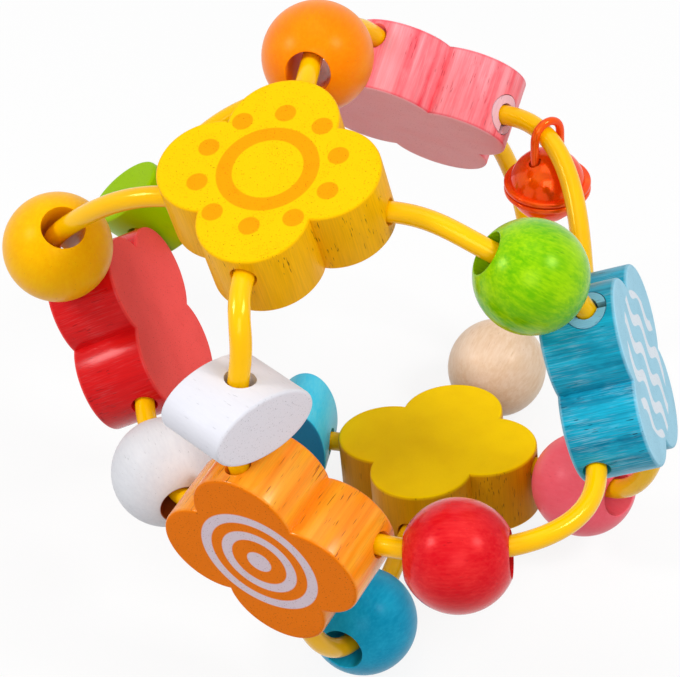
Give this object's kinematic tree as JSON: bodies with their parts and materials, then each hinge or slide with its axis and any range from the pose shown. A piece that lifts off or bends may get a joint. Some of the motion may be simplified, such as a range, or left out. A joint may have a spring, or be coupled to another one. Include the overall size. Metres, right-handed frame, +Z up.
{
  "type": "baby activity ball",
  "caption": "Open ball of flower-shaped wooden blocks strung on crossing plastic cords, with sliding beads, turning oval beads and a jingle bell to grasp, roll and shake.",
  "frame": {"origin": "middle of the bounding box, at the table that the ball stands on", "axes": "+Z up; -Y towards the orange block and +X towards the blue block"},
  "size_m": [0.1354, 0.139, 0.1224],
  "materials": {
    "yellow_block": "stained and lacquered",
    "pink_block": "stained and lacquered",
    "blue_block": "stained and lacquered",
    "orange_block": "stained and lacquered",
    "golden_block": "stained and lacquered",
    "red_block": "stained and lacquered",
    "cord": "glossy",
    "golden_plug": "stained and lacquered",
    "sleeve": "plain",
    "blue_plug": "stained and lacquered",
    "pink_plug": "stained and lacquered",
    "orange_bead": "satin paint",
    "yellow_bead": "satin paint",
    "green_bead": "satin paint",
    "natural_bead": "satin paint",
    "pink_bead": "satin paint",
    "red_bead": "satin paint",
    "blue_bead": "satin paint",
    "white_bead": "satin paint",
    "white_oval": "satin paint",
    "green_oval": "satin paint",
    "teal_oval": "satin paint",
    "bell": "gloss enamel"
  },
  "bodies": {
    "strung_frame": {"yellow_top_flower": "yellow_block", "pink_back_flower": "pink_block", "blue_right_flower": "blue_block", "orange_front_flower": "orange_block", "yellow_base_flower": "golden_block", "red_left_flower": "red_block", "upright_cord": "cord", "upright_plug": "golden_plug", "upright_sleeve": "sleeve", "cross_cord": "cord", "cross_plug": "blue_plug", "cross_sleeve": "sleeve", "girdle_cord": "cord", "girdle_plug": "pink_plug", "girdle_sleeve": "sleeve"},
    "orange_bead": {"orange_bead": "orange_bead"},
    "yellow_bead": {"yellow_bead": "yellow_bead"},
    "green_bead": {"green_bead": "green_bead"},
    "natural_bead": {"natural_bead": "natural_bead"},
    "pink_bead": {"pink_bead": "pink_bead"},
    "red_bead": {"red_bead": "red_bead"},
    "blue_bead": {"blue_bead": "blue_bead"},
    "white_bead": {"white_bead": "white_bead"},
    "white_oval_bead": {"white_oval_bead": "white_oval"},
    "green_oval_bead": {"green_oval_bead": "green_oval"},
    "teal_oval_bead": {"teal_oval_bead": "teal_oval"},
    "bell": {"bell_upper_shell": "bell", "bell_lower_shell": "bell", "bell_loop": "bell"},
    "bell_pellet": {"bell_pellet": "sleeve"}
  },
  "joints": [
    {"name": "orange_bead_travel", "type": "hinge", "parent": "strung_frame", "child": "orange_bead", "pos_m": [0.02351, 0.00475, 0.06353], "axis": [-0.8262, -0.1294, -0.5483], "range_deg": [-3, 13.5]},
    {"name": "yellow_bead_travel", "type": "hinge", "parent": "strung_frame", "child": "yellow_bead", "pos_m": [-0.02558, -0.00748, 0.06968], "axis": [0.1151, -0.8931, -0.4349], "range_deg": [-45.5, 0]},
    {"name": "green_bead_travel", "type": "hinge", "parent": "strung_frame", "child": "green_bead", "pos_m": [0.01587, -0.00461, 0.06994], "axis": [0.1329, 0.8738, 0.4677], "range_deg": [-25, 0]},
    {"name": "natural_bead_travel", "type": "hinge", "parent": "strung_frame", "child": "natural_bead", "pos_m": [0.00765, 0.03823, 0.03846], "axis": [0.9466, -0.2861, 0.1486], "range_deg": [-5, 82.5]},
    {"name": "pink_bead_travel", "type": "hinge", "parent": "strung_frame", "child": "pink_bead", "pos_m": [0.03369, 0.00727, 0.04241], "axis": [0.3215, 0.9223, 0.2143], "range_deg": [-47, 0]},
    {"name": "red_bead_travel", "type": "hinge", "parent": "strung_frame", "child": "red_bead", "pos_m": [0.02904, -0.02461, 0.05415], "axis": [0.1304, 0.1179, -0.9844], "range_deg": [-38.5, 5.5]},
    {"name": "blue_bead_travel", "type": "hinge", "parent": "strung_frame", "child": "blue_bead", "pos_m": [0.00116, -0.02517, 0.05715], "axis": [0.9717, -0.1009, 0.2136], "range_deg": [-3.5, 17]},
    {"name": "white_bead_travel", "type": "hinge", "parent": "strung_frame", "child": "white_bead", "pos_m": [-0.00151, -0.00833, 0.06044], "axis": [-0.285, -0.3288, 0.9004], "range_deg": [-6.5, 0]},
    {"name": "white_oval_spin", "type": "hinge", "parent": "strung_frame", "child": "white_oval_bead", "pos_m": [-0.00424, -0.05563, 0.08036], "axis": [0.1143, 0.1213, 0.986], "continuous": true},
    {"name": "green_oval_spin", "type": "hinge", "parent": "strung_frame", "child": "green_oval_bead", "pos_m": [-0.05403, 0.02686, 0.05756], "axis": [0.0057, 0.9347, 0.3554], "continuous": true},
    {"name": "teal_oval_spin", "type": "hinge", "parent": "strung_frame", "child": "teal_oval_bead", "pos_m": [-0.0188, 0.01374, 0.01256], "axis": [-0.9903, -0.1225, 0.0655], "continuous": true},
    {"name": "bell_swing", "type": "hinge", "parent": "strung_frame", "child": "bell", "pos_m": [0.03038, 0.03467, 0.08532], "axis": [0.8145, -0.5304, -0.2353], "range_deg": [-90, 90]},
    {"name": "pellet_rattle", "type": "slide", "parent": "bell", "child": "bell_pellet", "axis": [0, 0, 1], "range_m": [0, 0.0045]}
  ]
}
